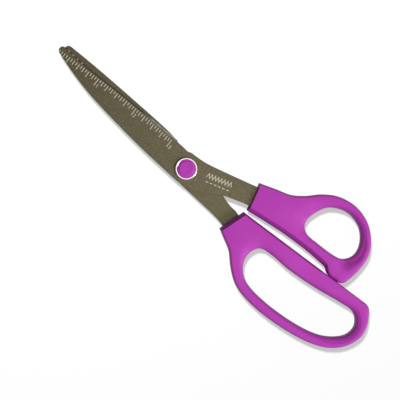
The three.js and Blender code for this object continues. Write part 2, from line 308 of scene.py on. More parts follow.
def noise(tree, scale, detail=3.0, roughness=0.5):
    coordinates = add(tree, "ShaderNodeTexCoord")
    texture = add(tree, "ShaderNodeTexNoise", Scale=scale, Detail=detail, Roughness=roughness)
    tree.links.new(coordinates.outputs["Object"], texture.inputs["Vector"])
    return texture.outputs["Fac"]


def ramp(tree, factor, low, high, start=0.0, end=1.0):
    """Colour running from low to high as factor goes from start to end."""
    node = add(tree, "ShaderNodeValToRGB")
    node.color_ramp.elements[0].position = start
    node.color_ramp.elements[0].color = (*low, 1)
    node.color_ramp.elements[1].position = end
    node.color_ramp.elements[1].color = (*high, 1)
    tree.links.new(factor, node.inputs["Fac"])
    return node.outputs["Color"]


def span(tree, factor, low, high, start=0.0, end=1.0):
    """A value running from low to high as factor goes from start to end."""
    node = add(
        tree,
        "ShaderNodeMapRange",
        **{"From Min": start, "From Max": end, "To Min": low, "To Max": high},
    )
    tree.links.new(factor, node.inputs["Value"])
    return node.outputs["Result"]


def bump(tree, shader, height, strength, distance):
    node = add(tree, "ShaderNodeBump", Strength=strength, Distance=distance * MM)
    tree.links.new(height, node.inputs["Height"])
    tree.links.new(node.outputs["Normal"], shader.inputs["Normal"])


def purple_plastic():
    material, tree, shader = principled("purple_plastic", 0.38)
    tone = noise(tree, 35, 4.0)
    colour = ramp(tree, tone, (0.43, 0.045, 0.41), (0.48, 0.058, 0.45), 0.3, 0.7)
    tree.links.new(colour, shader.inputs["Base Color"])
    wear = noise(tree, 160, 6.0, 0.6)
    tree.links.new(span(tree, wear, 0.34, 0.46, 0.35, 0.65), shader.inputs["Roughness"])
    bump(tree, shader, noise(tree, 2200, 2.0), 0.12, 0.05)
    shader.inputs["Specular IOR Level"].default_value = 0.35
    return material


def place_along(tree, axis):
    """An object-space coordinate, in metres."""
    coordinates = add(tree, "ShaderNodeTexCoord")
    parts = add(tree, "ShaderNodeSeparateXYZ")
    tree.links.new(coordinates.outputs["Object"], parts.inputs["Vector"])
    return parts.outputs[axis]


def blend(tree, factor, low, high):
    node = add(tree, "ShaderNodeMix", data_type="RGBA")
    tree.links.new(factor, node.inputs["Factor"])
    tree.links.new(low, node.inputs[6])
    tree.links.new(high, node.inputs[7])
    return node.outputs[2]


def combine(tree, operation, a, b):
    """Two values, or a value and a number, put through one operation."""
    node = add(tree, "ShaderNodeMath", operation=operation)
    for socket_in, value in zip(node.inputs, (a, b)):
        if isinstance(value, float):
            socket_in.default_value = value
        else:
            tree.links.new(value, socket_in)
    return node.outputs["Value"]


def coated_steel(name, shade, bareness_and_glints):
    """Speckled dark coating, darker towards the tip, and bare steel where the last argument gives 1:
    worn bare, and on the ground edge also painted highlights on the crests. A shade below 1 darkens the
    coating as painted shade.
    """
    material, tree, shader = principled(name, 0.5)
    grain = noise(tree, 2600, 3.0, 0.7)
    dark, light = Vector((0.118, 0.099, 0.056)) * shade, Vector((0.262, 0.226, 0.133)) * shade
    middle = ramp(tree, grain, dark, light, 0.36, 0.66)
    tip = ramp(tree, grain, dark * 0.7, light * 0.7, 0.36, 0.66)
    along = span(tree, place_along(tree, "X"), 0.0, 1.0, -10 * MM, 95 * MM)
    coating = blend(tree, along, middle, tip)
    steel = ramp(tree, grain, (0.62, 0.60, 0.55), (0.92, 0.90, 0.85), 0.3, 0.7)
    # Bare steel from wear, and for the ground edge also painted highlights on the crests.
    bare = bareness_and_glints(tree)
    tree.links.new(blend(tree, bare, coating, steel), shader.inputs["Base Color"])
    tree.links.new(span(tree, bare, 0.25, 0.9), shader.inputs["Metallic"])
    patches = noise(tree, 90, 4.0)
    tree.links.new(span(tree, patches, 0.42, 0.6, 0.3, 0.7), shader.inputs["Roughness"])
    bump(tree, shader, grain, 0.5, 0.04)
    return material


def rubbed(tree, bare):
    """Bareness broken up by patches of wear."""
    wear = noise(tree, 420, 4.0, 0.6)
    return combine(tree, "MULTIPLY", bare, span(tree, wear, 0.35, 1.0, 0.4, 0.55))


def bare_above(tree):
    """The back blade's inner side, above its outer half."""
    return rubbed(tree, span(tree, place_along(tree, "Z"), 0.0, 1.0, 5.8 * MM, 6.2 * MM))


def bare_below(tree):
    """The front blade's inner side, below its outer half."""
    return rubbed(tree, span(tree, place_along(tree, "Z"), 0.0, 1.0, 5.2 * MM, 4.8 * MM))


def bare_heel_and_crests(tree):
    """Bare from the middle to the heel, and painted highlights in bare-steel colour in spots on the last
    few crests before the tip.
    """
    x = place_along(tree, "X")
    heel = rubbed(tree, span(tree, x, 0.0, 1.0, 38 * MM, 27 * MM))
    half_pitch = PITCH / 2 * MM
    from_valley = combine(tree, "PINGPONG", combine(tree, "SUBTRACT", x, TOOTH_START * MM), half_pitch)
    # Painted highlights: bare-steel spots at the crests near the tip stand in for the teeth's glints.
    crest_glints = span(tree, from_valley, 0.0, 1.0, half_pitch * 0.7, half_pitch * 0.85)
    near_tip = span(tree, x, 0.0, 1.0, 77 * MM, 79 * MM)
    return combine(tree, "MAXIMUM", heel, combine(tree, "MULTIPLY", crest_glints, near_tip))


def bright_steel(name, tint):
    material, tree, shader = principled(name, 0.18, 1.0)
    scuffs = noise(tree, 500, 5.0, 0.6)
    tree.links.new(
        ramp(tree, scuffs, tint * 0.8, tint, 0.3, 0.7),
        shader.inputs["Base Color"],
    )
    tree.links.new(span(tree, scuffs, 0.14, 0.3, 0.3, 0.7), shader.inputs["Roughness"])
    bump(tree, shader, scuffs, 0.08, 0.02)
    return material


def dark_nylon():
    material, tree, shader = principled("dark_nylon", 0.6)
    mottle = noise(tree, 700, 4.0)
    tree.links.new(
        ramp(tree, mottle, (0.018, 0.018, 0.018), (0.035, 0.035, 0.035), 0.3, 0.7),
        shader.inputs["Base Color"],
    )
    tree.links.new(span(tree, mottle, 0.5, 0.7, 0.3, 0.7), shader.inputs["Roughness"])
    bump(tree, shader, mottle, 0.2, 0.03)
    return material


def pale_print():
    material, tree, shader = principled("pale_print", 0.6)
    fade = noise(tree, 1500, 4.0, 0.7)
    tree.links.new(
        ramp(tree, fade, (0.50, 0.44, 0.33), (0.66, 0.61, 0.48), 0.3, 0.7),
        shader.inputs["Base Color"],
    )
    tree.links.new(span(tree, fade, 0.5, 0.7, 0.3, 0.7), shader.inputs["Roughness"])
    bump(tree, shader, fade, 0.2, 0.02)
    return material


PURPLE = purple_plastic()
FRONT_COATED = coated_steel("front_coating", 1.0, bare_below)
BACK_COATED = coated_steel("back_coating", 1.0, bare_above)
# The ground edge's coating at 0.35 of its colour is painted shade: the dark line of a bevel that faces
# away from the light.
SHADED_GROUND = coated_steel("ground_edge_painted_shade", 0.35, bare_heel_and_crests)
BRIGHT = bright_steel("bright_steel", Vector((0.90, 0.88, 0.88)))
PLATED = bright_steel("plated_steel", Vector((0.95, 0.83, 0.88)))
NYLON = dark_nylon()
PRINT = pale_print()


def dress(obj, material):
    obj.data.materials.clear()
    obj.data.materials.append(material)


# ---- Handles

ROUND_HEIGHT = 3.6 # edge rounding, measured down the side
ROUND_WIDTH = 1.4 # and in from the side
ROUND_STEPS = 8
ARRIS = 0.3 # small rounding at the top of a drafted side
ARRIS_STEPS = 2
ARRIS_TURN = math.radians(35) # per step
BEND_SHARE = 0.8 # of an inside bend's radius, the most that an edge may take up
SMOOTH_ROUNDS = 3
NOSE_START = -90 # the thumb loop's nose lies beyond
DISH_STEPS = 6
DISH_BEND = 1.25 # a dish steepens towards the hole as distance to this power
GRIP_SPACING = 0.9
CURVE_STEPS = 12 # between two points of an outline
STOP_GAP = 0.04 # between the thumb loop's nose and the finger handle
FACING_START = 0.75 # how squarely a side must face the slot before its draft begins
THUMB_SLOT_WIDTHS = (2.2, 3.0) # of the drafted side: up to the nose, and along it
FINGER_SLOT_WIDTHS = (1.0, 1.0)
SLOT_SIDE = Vector((0.12, -0.99)) # from the finger handle towards the thumb handle, square to the slot
# A collar's end face: its ends at middle height, and how far it leans back above and below that.
THUMB_TILT = math.radians(13)
FINGER_TILT = math.radians(20)
THUMB_END = ((-33.2, -21.7), (-38.4, -6.8))
FINGER_END = ((-38, -4.6), (-34.8, 10.6))

# The edge of each hole: a centre to see directions from, how much longer than wide the hole is, and
# by direction in degrees the width of the rounded edge, and the width and depth of the dish behind it.
THUMB_HOLE_EDGE = (
    (-80, -31),
    1,
    (
        (5, 1.4, 4.8, 0.9), (26, 1.4, 7.5, 1.3), (40, 1.4, 4.5, 1.1), (50, 1.4, 2.4, 0.6),
        (72, 1.4, 0.3, 0.1), (138, 1.4, 0.3, 0.1), (154, 2, 5, 3), (168, 2.5, 2.8, 2),
        (188, 2.8, 1.1, 0.8), (215, 2.6, 0.2, 0.1), (310, 1.8, 0.2, 0.1),
    ),
)
FINGER_HOLE_EDGE = (
    (-88, 9),
    2.4,
    (
        (0, 1.4, 3.4, 0.8), (28, 1.4, 0.8, 0.2), (60, 1.2, 0.2, 0.1), (120, 1.8, 0.2, 0.1),
        (180, 3.4, 0.2, 0.1), (220, 2.8, 0.2, 0.1), (290, 1.2, 0.2, 0.1), (335, 1.4, 2.6, 0.7),
    ),
)


def stop_side(x):
    """The finger handle's straight side, where the thumb loop's nose comes to rest."""
    return -4.7 + 0.1255 * (x + 37.5)


def nose_side(x):
    return stop_side(x) - STOP_GAP


def thumb_outline():
    loop = catmull_rom(
        [
            (-32, -5.1), (-38.4, -6.5), (-50, -9.05), (-62, -11.35), (-76, -13.15), (-86, -13.75),
            (-90.3, -13.75),
        ],
        CURVE_STEPS,
    )
    loop += corner((-90.3, -13.75), (-93, nose_side(-93)), (-95.6, nose_side(-95.6)))[1:]
    loop += corner((-99.9, nose_side(-99.9)), (-102.5, nose_side(-102.5)), (-103.5, -15.7))
    loop += catmull_rom(
        [
            (-103.5, -15.7), (-104.2, -24.1), (-102.8, -33.7), (-97.9, -41.1), (-89.8, -46.8),
            (-79.5, -48.7), (-69.5, -46.3), (-62, -41), (-56, -34.1), (-50, -29), (-42, -25.6),
            (-33.2, -21.7), (-28, -19.6),
        ],
        CURVE_STEPS,
    )[1:]
    loop += corner((-28, -19.6), (-24, -18), (-25.3, -14.4))[1:]
    loop += corner((-27.3, -8.2), (-28.3, -4.5), (-32, -5.1))[:-1]
    return loop


THUMB_HOLE = [
    (-65.4, -27.5), (-68, -36.4), (-73.7, -41.5), (-80.7, -43.5), (-88.7, -41.7), (-94.7, -36.2),
    (-96.9, -29.5), (-94.2, -23.8), (-88.7, -21.5), (-78.7, -20.2), (-71.2, -19.8), (-66.7, -22.2),
]


def finger_outline():
    loop = [Vector((-118.9, stop_side(-118.9))), Vector((-31, stop_side(-31)))]
    loop += corner((-31, stop_side(-31)), (-26, stop_side(-26)), (-25.6, 0))[1:]
    loop += corner((-25.2, 4), (-24.8, 7.1), (-28.5, 8.3))
    loop += catmull_rom(
        [
            (-28.5, 8.3), (-34.8, 10.6), (-40, 12.8), (-46.7, 15.8), (-54, 21.8), (-62, 26.4),
            (-72, 28), (-85, 27.5), (-100, 24.9), (-112.2, 21.2), (-121.3, 16.1), (-127.3, 9),
            (-129.8, 0.5), (-128.2, -6.5), (-123.8, -12.8),
        ],
        CURVE_STEPS,
    )[1:]
    loop += corner((-123.8, -12.8), (-121.7, -15.3), (-118.9, stop_side(-118.9)))[1:-1]
    return loop


FINGER_HOLE = [
    (-55.6, 9.5), (-58, 3.3), (-65.5, 1.4), (-77.5, 0.7), (-93.5, -2), (-108.6, -5.7), (-117.7, -6.9),
    (-123.5, -1.8), (-122.7, 6), (-114, 14.2), (-99.5, 19.3), (-80.5, 22.1), (-65.7, 21.4),
    (-57.9, 16.3),
]


def counter_clockwise(loop):
    return loop if area(loop) > 0 else loop[::-1]


def fitting_widths(loop, inward, widths):
    """The widths, cut down where the loop bends so tightly that a rounded edge would fold over."""
    count = len(loop)
    fitted = []
    for i, width in enumerate(widths):
        before, after = loop[i - 2], loop[(i + 2) % count]
        sag = ((before + after) / 2 - loop[i]).dot(inward[i])
        if sag > 0:
            bend_radius = (after - before).length_squared / (8 * sag)
            width = min(width, BEND_SHARE * bend_radius)
        fitted.append(width)
    for _ in range(SMOOTH_ROUNDS):
        fitted = [min(fitted[i - 1], fitted[i], fitted[(i + 1) % count]) for i in range(count)]
    for _ in range(SMOOTH_ROUNDS):
        fitted = [(fitted[i - 1] + fitted[i] + fitted[(i + 1) % count]) / 3 for i in range(count)]
    return fitted


def rounded_edge(i, width, height, slope):
    """Step i of an elliptical rounding that starts at a slope: how far in from the side, and down."""
    start = math.atan(slope * width / height)
    angle = start + (math.pi / 2 - start) * i / ROUND_STEPS
    across = width * (1 - math.sin(angle)) / (1 - math.sin(start))
    return across, height * (math.cos(start) - math.cos(angle))


def drafted_edge(i, width):
    """Step i of a small rounding and then a side that leans out to the middle height."""
    if i <= ARRIS_STEPS:
        angle = ARRIS_TURN * i
        return width + ARRIS - ARRIS * math.sin(angle), ARRIS * (1 - math.cos(angle))
    t = (i - ARRIS_STEPS) / (ROUND_STEPS - ARRIS_STEPS)
    return width * (1 - t) ** 2, ARRIS + (HANDLE_TOP / 2 - ARRIS) * t


def ring_rows(loop, inward, widths, drafts=None, dishes=None):
    """Rows from the flat top down to a handle's side: a dish, where there is one, then the edge.

    drafts says how far each point's edge is drafted instead of rounded, from 0 to 1.
    """
    drafts = drafts or [0.0] * len(loop)
    rows = []
    if dishes:
        for i in range(DISH_STEPS):
            out = 1 - i / DISH_STEPS
            row = []
            for p, n, round_width, (width, depth) in zip(loop, inward, widths, dishes):
                q = p + n * (round_width + width * out)
                row.append((q.x, q.y, HANDLE_TOP - depth * (1 - out) ** DISH_BEND))
            rows.append(row)
    else:
        dishes = [(1.0, 0.0)] * len(loop)
    for i in range(ROUND_STEPS + 1):
        row = []
        for p, n, width, draft, (dish_width, depth) in zip(loop, inward, widths, drafts, dishes):
            plain = rounded_edge(i, width, ROUND_HEIGHT - depth / 2, DISH_BEND * depth / dish_width)
            leaning = drafted_edge(i, width)
            q = p + n * (plain[0] + (leaning[0] - plain[0]) * draft)
            row.append((q.x, q.y, HANDLE_TOP - depth - plain[1] - (leaning[1] - plain[1]) * draft))
        rows.append(row)
    return rows


def between(table, angle):
    """Values at an angle, eased between the nearest entries of a table."""
    angle %= 360
    count = len(table)
    for i in range(count):
        first, last = table[i], table[(i + 1) % count]
        gap = (last[0] - first[0]) % 360
        off = (angle - first[0]) % 360
        if off <= gap:
            t = off / gap
            t = t * t * (3 - 2 * t)
            return tuple(a + (b - a) * t for a, b in zip(first[1:], last[1:]))
    return table[0][1:]


def by_direction(loop, centre, stretch, table):
    """For each point of a hole, the table's values in its direction from the centre."""
    result = []
    for p in loop:
        angle = math.degrees(math.atan2(p.y - centre[1], (p.x - centre[0]) / stretch))
        result.append(between(table, angle))
    return result


def grip(name, outline, hole, slot_side, slot_widths, hole_edge, body, cad_node):
    """A moulded handle: two flat faces, joined round the outside and through the hole.

    The outer edge is rounded, but drafted where it faces the slot, in the direction slot_side.
    slot_widths are the edge's widths there, up to the nose and along it. hole_edge holds by_direction's
    values for the hole: the edge's width, and the dish's width and depth.
    """
    outer = counter_clockwise(resample(outline, GRIP_SPACING))
    inner = counter_clockwise(resample(hole, GRIP_SPACING))
    vertices = []
    faces = []
    rims = []

    inward = [-n for n in normals(outer)]
    facing = [(-n.dot(slot_side) - FACING_START) / (1 - FACING_START) for n in inward]
    drafts = [min(max(f, 0), 1) for f in facing]
    along, at_nose = slot_widths
    slot_width = [along if p.x >= NOSE_START else at_nose for p in outer]
    widths = [ROUND_WIDTH + (w - ROUND_WIDTH) * f for w, f in zip(slot_width, drafts)]
    widths = fitting_widths(outer, inward, widths)
    drafts = [f if p.x > NOSE_START else 0.0 for p, f in zip(outer, drafts)]
    rows = ring_rows(outer, inward, widths, drafts)
    rims.append(band(vertices, faces, rows + underside(rows)))

    inward = normals(inner)
    shapes = by_direction(inner, *hole_edge)
    widths = fitting_widths(inner, inward, [shape[0] for shape in shapes])
    rows = ring_rows(inner, inward, widths, dishes=[shape[1:] for shape in shapes])
    low_widths = fitting_widths(inner, inward, [ROUND_WIDTH] * len(inner))
    rims.append(band(vertices, faces, rows + underside(ring_rows(inner, inward, low_widths))))

    for end in (0, 1):
        fill(vertices, faces, rims[0][end], rims[1][end])
    obj = new_object(name, vertices, faces, body, "plastic")
    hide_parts(cad_node)
    return obj


def underside(rows):
    """The rows mirrored to the lower half, bottom last, without those at middle height."""
    above = HANDLE_TOP / 2 + 0.01
    rows = [row for row in rows if min(z for _, _, z in row) > above]
    return [[(x, y, HANDLE_TOP - z) for x, y, z in row] for row in rows[::-1]]


def end_face(obj, ends, tilt):
    """Cuts a collar off flat. The face leans back from its middle height to both faces of the handle."""
    low, high = Vector(ends[0]), Vector(ends[1])
    along = (high - low).normalized()
    out = Vector((along.y, -along.x))
    middle = (low + high) / 2
    bm = bmesh.new()
    bm.from_mesh(obj.data)
    for up in (1, -1):
        normal = Vector((out.x, out.y, 0)) * math.cos(tilt)
        normal.z = up * math.sin(tilt)
        split = bmesh.ops.bisect_plane(
            bm,
            geom=bm.verts[:] + bm.edges[:] + bm.faces[:],
            plane_co=Vector((middle.x, middle.y, HANDLE_TOP / 2)) * MM,
            plane_no=normal,
            clear_outer=True,
        )
        edges = [e for e in split["geom_cut"] if isinstance(e, bmesh.types.BMEdge)]
        bmesh.ops.contextual_create(bm, geom=edges)
    bmesh.ops.recalc_face_normals(bm, faces=bm.faces)
    bm.to_mesh(obj.data)
    bm.free()


# ---- Tangs. A mouth is two corners, in the order the blade's outline meets them.

MOULD_GAP = 0.1 # hairline between a tang and its handle
TANG_SHOULDER = 1 # the tang's step in on each side
SHOULDER_DEPTH = 6 # from the mouth to the step
SHOULDER_SLOPE = 1
TANG_CORNER = 2 # cut off the two far corners
FRONT_TANG = {"mouth": ((-34.2, -7.9), (-30.6, -18.2)), "length": 23, "hole_at": 14}
BACK_TANG = {"mouth": ((-32.6, 7.95), (-34.7, -2.2)), "length": 16, "hole_at": 10}
TANG_HOLE_RADIUS = 1.8


def tang_axes(tang):
    first, last = (Vector(p) for p in tang["mouth"])
    across = (last - first).normalized()
    return first, last, across, Vector((across.y, -across.x))


def tail(tang, gap):
    """The tang's outline inside the handle, grown by gap on every side."""
    first, last, across, along = tang_axes(tang)
    step = TANG_SHOULDER - gap
    end = tang["length"] + gap
    near = [
        (SHOULDER_DEPTH + gap, -gap),
        (SHOULDER_DEPTH + SHOULDER_SLOPE + gap, step),
        (end - TANG_CORNER, step),
        (end, step + TANG_CORNER),
    ]
    points = [first + along * deep + across * inward for deep, inward in near]
    return points + [last + along * deep - across * inward for deep, inward in near[::-1]]


def disc(centre, radius, steps=40):
    turn = (2 * math.pi * i / steps for i in range(steps))
    return [centre + Vector((math.cos(a), math.sin(a))) * radius for a in turn]


def tang_hole(tang, radius):
    first, last, _, along = tang_axes(tang)
    return disc((first + last) / 2 + along * tang["hole_at"], radius)


def socket(obj, tang, side):
    """Hollows a grip out for its tang, and leaves a peg standing in the tang's hole."""
    first, last, across, along = tang_axes(tang)
    out = along * BEYOND
    outside = [last + across * MOULD_GAP - out, first - across * MOULD_GAP - out]
    vertices = []
    faces = []
    inner = MATING + side * (FACE_RELIEF - MOULD_GAP)
    outer = MATING + side * (THICKNESS + MOULD_GAP)
    hollow = band(vertices, faces, [level(outside + tail(tang, MOULD_GAP), z) for z in (inner, outer)])
    peg = tang_hole(tang, TANG_HOLE_RADIUS - MOULD_GAP)
    column = band(vertices, faces, [level(peg, z) for z in (inner, outer)])
    for rim, hole in zip(hollow, column):
        fill(vertices, faces, rim, hole)
    cut(obj, vertices, faces)


# ---- Blades

FRONT_EDGE = [(14.5, -7.7), (30, -6.7), (45, -5.35), (60, -3.9), (75, -2.4), (91.55, -1.9)]
BACK_EDGE = [(14.5, 7.7), (30, 7.3), (45, 6.5), (60, 5.1), (75, 3), (90.8, 0.05)]
FRONT_NOSE = ((91.55, 0.4), 2.3)
BACK_NOSE = ((90.4, -2.1), 2.15)
BLADE_SPACING = 0.6
EDGE_BREAK = 0.3 # rounding round the outer face
EDGE_STEPS = 3
EDGE_CURVE_STEPS = 14 # between two points of a cutting edge
BLANK_DEPTH = 2 # below the mating plane, before the inner side is cut
TOOTH_DEPTH = 1.6 # valley to crest
TOOTH_FLAT = 0.3 # along each crest and valley
TOOTH_PLAY = 0.06 # from the teeth to the middle surface
TOOTH_COUNT = 25
TOOTH_FAN = 46 # degrees to each side
FAN_START = 8 # radius where the ridges' cutter begins
FAN_STEPS = 90
FLAT_END = 10 # the plain inner face reaches this far along X
REACH_BACK = 130
REACH_SIDE = 60
LIP_WIDTH = 4.5 # toothed band along each cutting edge
TIP_LIP_WIDTH = 2.2
LIP_CLEARANCE = 0.15 # hollow behind the lip, below the other blade's crests
BORE = 3.05
GRIND_WIDTH = 0.95 # at the heel
GRIND_NARROWING = 0.4 # less at the tip
GRIND_OUT = 2 # past the edge
GRIND_DROP = 3.0 # depth there
GRIND_ABOVE = 1


def arc(centre, radius, first, last, steps=16):
    result = []
    for i in range(steps + 1):
        angle = math.radians(first + (last - first) * i / steps)
        result.append(Vector(centre) + Vector((math.cos(angle), math.sin(angle))) * radius)
    return result


def front_outline():
    tang_side = [(-30.6, -18.2), (-25, -16.2), (-15, -12.7), (-5, -9.5), (4.3, -8.05)]
    loop = catmull_rom(tang_side, CURVE_STEPS)
    loop += [Vector((5.6, -7.3)), Vector((13.2, -7.15))]
    loop += catmull_rom(FRONT_EDGE, EDGE_CURVE_STEPS)
    loop += arc(*FRONT_NOSE, -88, 79)
    loop += catmull_rom(
        [
            (91.99, 2.66), (80, 5.2), (65, 7.3), (45, 8.4), (25, 8.8), (10, 8.55), (-2, 8.1),
            (-9, 6.6), (-16, 2.3), (-24, -3.3), (-34.2, -7.9),
        ],
        CURVE_STEPS,
    )[1:]
    return loop + tail(FRONT_TANG, 0)


def back_outline():
    loop = catmull_rom(
        [
            (-34.7, -2.2), (-30.3, -2.2), (-24, -3.4), (-15, -5.4), (-5, -6.6), (5, -6.75), (12, -7.1),
            (20, -7.95), (30, -7.8), (45, -7.15), (65, -6.15), (80, -5.15), (90.3, -4.25),
        ],
        CURVE_STEPS,
    )
    loop += arc(*BACK_NOSE, -88, 79)
    loop += catmull_rom(BACK_EDGE, EDGE_CURVE_STEPS)[::-1]
    loop += [Vector((13.2, 7.1)), Vector((5.6, 7.2))]
    loop += catmull_rom([(4.3, 8.1), (-10, 8), (-25, 7.7), (-32.6, 7.95)], CURVE_STEPS)
    return loop + tail(BACK_TANG, 0)


def tooth_profile(phase):
    """The inner side's section along the blade: flat near the pivot, then ridges out to the tip."""
    valley = TOOTH_PLAY + phase * TOOTH_DEPTH / 2
    crest = TOOTH_PLAY - phase * TOOTH_DEPTH / 2
    profile = [(FAN_START, -BEYOND), (FAN_START, FACE_RELIEF)]
    profile += [(TOOTH_START, FACE_RELIEF), (TOOTH_START, valley)]
    for i in range(TOOTH_COUNT):
        start = TOOTH_START + i * PITCH
        middle = start + PITCH / 2
        profile.append((start + TOOTH_FLAT / 2, valley))
        profile.append((middle - TOOTH_FLAT / 2, crest))
        profile.append((middle + TOOTH_FLAT / 2, crest))
        profile.append((start + PITCH - TOOTH_FLAT / 2, valley))
    profile.append((TOOTH_START + TOOTH_COUNT * PITCH, -BEYOND))
    return profile


def blade(name, outline, edge, tang, side, body, cad_node, material):
    """A blade. Side 1 has its outer face up and cuts on the -Y side, side -1 the opposite."""

    def place(solid):
        vertices, faces = solid
        return [(x, y, MATING + side * z) for x, y, z in vertices], faces

    loop = counter_clockwise(resample(outline, BLADE_SPACING))
    inward = [-n for n in normals(loop)]
    widths = fitting_widths(loop, inward, [EDGE_BREAK] * len(loop))
    rows = [level(loop, -BLANK_DEPTH)]
    for i in range(EDGE_STEPS + 1):
        angle = math.pi / 2 * i / EDGE_STEPS
        places = [p + n * (w * (1 - math.cos(angle))) for p, n, w in zip(loop, inward, widths)]
        rows.append(level(places, THICKNESS - EDGE_BREAK * (1 - math.sin(angle))))
    obj = new_object(name, *place(loft(rows)), body, "coating")
    dress(obj, material)
    # Second material, for the ground faces: the coating darkened as painted shade.
    obj.data.materials.append(SHADED_GROUND)
    flat = [
        (-REACH_BACK, -REACH_SIDE), (FLAT_END, -REACH_SIDE), (FLAT_END, REACH_SIDE),
        (-REACH_BACK, REACH_SIDE),
    ]
    bore = disc(Vector((0, 0)), BORE, 96)
    hole = tang_hole(tang, TANG_HOLE_RADIUS)
    cut(obj, *place(loft([level(flat, -BEYOND), level(flat, FACE_RELIEF)])))
    cut(obj, *place(turned(tooth_profile(side), FAN_STEPS, -TOOTH_FAN, TOOTH_FAN)))
    cut(obj, *place(hollow(edge, -side)))
    cut(obj, *place(loft([level(bore, -BEYOND), level(bore, BEYOND)])))
    cut(obj, *place(loft([level(hole, -BEYOND), level(hole, BEYOND)])))
    cut(obj, *place(grind(edge, -side)), 1)
    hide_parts(cad_node)
    smooth_by_angle(obj, 28)
    return obj


def hollow(edge, edge_side):
    """The relief between the toothed lip and the spine, which clears the other blade's ridges."""
    widths = [LIP_WIDTH] * (len(edge) - 1) + [TIP_LIP_WIDTH]
    lip = [(x, y - edge_side * width) for (x, y), width in zip(edge, widths)]
    line = [p for p in catmull_rom(lip, EDGE_CURVE_STEPS) if p.length > TOOTH_START]
    start = math.degrees(math.atan2(line[0].y, line[0].x))
    rounded = arc((0, 0), TOOTH_START, -edge_side * 75, start, 24)
    tip = line[-1] + Vector((BEYOND, 0))
    far = Vector((tip.x, -edge_side * 30))
    loop = rounded + line + [tip, far, Vector((rounded[0].x, far.y))]
    return loft([level(loop, -BEYOND), level(loop, TOOTH_DEPTH / 2 + LIP_CLEARANCE)])


def grind(edge, edge_side):
    """The wedge ground off along the cutting edge, wider towards the heel."""
    path = catmull_rom(edge + [(edge[-1][0] + 5, edge[-1][1] - edge_side)], EDGE_CURVE_STEPS)
    vertices = []
    faces = []
    rows = []
    for i, p in enumerate(path):
        before, after = path[max(i - 1, 0)], path[min(i + 1, len(path) - 1)]
        d = (after - before).normalized()
        out = Vector((-d.y, d.x)) * edge_side
        width = GRIND_WIDTH - GRIND_NARROWING * (p.x - path[0].x) / (path[-1].x - path[0].x)
        corners = (
            (-width, 0), (GRIND_OUT, GRIND_DROP), (GRIND_OUT, -GRIND_ABOVE), (-width, -GRIND_ABOVE),
        )
        rows.append([(*(p + out * q), THICKNESS - down) for q, down in corners])
    band(vertices, faces, rows)
    faces.append((0, 1, 2, 3))
    faces.append(tuple(range(len(vertices) - 4, len(vertices))))
    return vertices, faces


thumb_grip = grip(
    "thumb_grip",
    thumb_outline(),
    catmull_rom(THUMB_HOLE, CURVE_STEPS, True),
    -SLOT_SIDE,
    THUMB_SLOT_WIDTHS,
    THUMB_HOLE_EDGE,
    "front",
    "thumb_handle",
)
finger_grip = grip(
    "finger_grip",
    finger_outline(),
    catmull_rom(FINGER_HOLE, CURVE_STEPS, True),
    SLOT_SIDE,
    FINGER_SLOT_WIDTHS,
    FINGER_HOLE_EDGE,
    "back",
    "finger_handle",
)
for obj, ends, tilt, tang, side in (
    (thumb_grip, THUMB_END, THUMB_TILT, FRONT_TANG, 1),
    (finger_grip, FINGER_END, FINGER_TILT, BACK_TANG, -1),
):
    dress(obj, PURPLE)
    end_face(obj, ends, tilt)
    socket(obj, tang, side)
    smooth_by_angle(obj, 32)

blade("front_steel", front_outline(), FRONT_EDGE, FRONT_TANG, 1, "front", "front_blade", FRONT_COATED)
blade("back_steel", back_outline(), BACK_EDGE, BACK_TANG, -1, "back", "back_blade", BACK_COATED)

# ---- Print on the front blade: a thin layer of pale ink

INK_SUNK = 0.03
INK_PROUD = 0.03
STROKE = 0.38
DIGIT_SIZE = 2.9
DIGIT_ASIDE = 1.3 # from its inch mark
DIGIT_UP = 4.6 # from the marks' line to its foot
RULER_ZERO = 92.6 # where the scale's zero lies, at the tip
RULER_TILT = math.radians(5.7) # the marks stand square to the cutting edge's mean direction
RULER_LINE = [(12, -5.9), (30, -5.3), (45, -4.5), (60, -3.1), (75, -1.2), (95, 1.4)]
RULER_END = 0.4 # clear of the blade's edges
RULER_INCHES = 3
# How long a mark is, by the largest of these that its number of sixteenths divides by.
TICK_LENGTHS = ((16, 4.6), (4, 3.5), (2, 2.6), (1, 1.8))


def stroke(points, width=STROKE):
    """A printed line through points, as a thin solid with mitred corners."""
    line = [Vector(p) for p in points]
    headings = [(b - a).normalized() for a, b in zip(line, line[1:])]
    left = []
    right = []
    for p, before, after in zip(line, headings[:1] + headings, headings + headings[-1:]):
        across = Vector((-before.y - after.y, before.x + after.x)).normalized()
        reach = width / 2 / across.dot(Vector((-before.y, before.x)))
        left.append(p + across * reach)
        right.append(p - across * reach)
    loop = left + right[::-1]
    return loft([level(loop, BLADE_TOP - INK_SUNK), level(loop, BLADE_TOP + INK_PROUD)])


def merge(solids):
    vertices = []
    faces = []
    for more, polygons in solids:
        first = len(vertices)
        vertices.extend(more)
        faces.extend(tuple(first + i for i in polygon) for polygon in polygons)
    return vertices, faces


def ruler_height(x):
    """The line that the scale's marks start from, as y at x."""
    curve = catmull_rom(RULER_LINE, EDGE_CURVE_STEPS)
    a, b = next((a, b) for a, b in zip(curve, curve[1:]) if a.x <= x <= b.x)
    return a.y + (b.y - a.y) * (x - a.x) / (b.x - a.x)


def ruler_ticks():
    up = Vector((-math.sin(RULER_TILT), math.cos(RULER_TILT)))
    metal = front_outline()
    solids = []
    for sixteenth in range(16 * RULER_INCHES + 1):
        length = next(size for step, size in TICK_LENGTHS if sixteenth % step == 0)
        x = RULER_ZERO - sixteenth * INCH / 16
        base = Vector((x, ruler_height(x)))
        while not inside(base + up * (length + RULER_END), metal):
            length -= 0.1
        solids.append(stroke([base, base + up * length]))
    return solids


